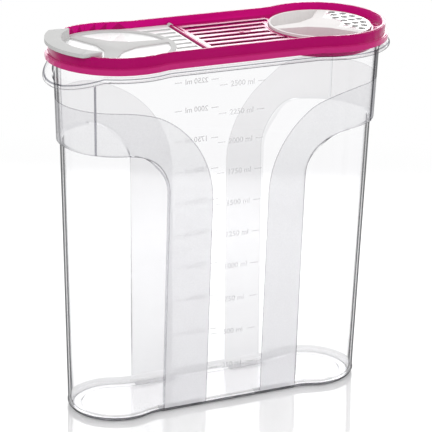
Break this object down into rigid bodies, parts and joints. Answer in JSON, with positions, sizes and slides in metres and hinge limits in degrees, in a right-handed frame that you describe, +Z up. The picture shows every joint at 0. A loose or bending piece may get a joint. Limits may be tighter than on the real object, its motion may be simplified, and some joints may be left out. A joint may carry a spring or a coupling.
{
  "type": "cereal container",
  "caption": "Tall waisted container with a press-on lid, a flip cap over the pouring hole, a turning dispenser dial and a finger grip under the rim.",
  "frame": {"origin": "centre of the base, on the surface that the container stands on", "axes": "+Z up, +X from the flip cap towards the dial, +Y across the container, away from the side with the readable scale"},
  "size_m": [0.2306, 0.0904, 0.2467],
  "materials": {
    "clear_body": "clear moulded plastic with frosted bands",
    "lid": "glossy translucent magenta",
    "cap": "satin light grey",
    "dial": "satin warm grey"
  },
  "bodies": {
    "body": {"vessel": "clear_body"},
    "lid": {"lid": "lid"},
    "cap": {"flip_cap": "cap"},
    "dial": {"dispenser_dial": "dial"}
  },
  "joints": [
    {"name": "lid_lift", "type": "slide", "parent": "body", "child": "lid", "axis": [0, 0, 1], "range_m": [0, 0.04]},
    {"name": "cap_hinge", "type": "hinge", "parent": "lid", "child": "cap", "pos_m": [-0.0195, 0, 0.24], "axis": [0, 1, 0], "range_deg": [0, 110]},
    {"name": "dial_turn", "type": "hinge", "parent": "lid", "child": "dial", "pos_m": [0.07, 0, 0.2368], "axis": [0, 0, 1], "range_deg": [-120, 120]}
  ]
}
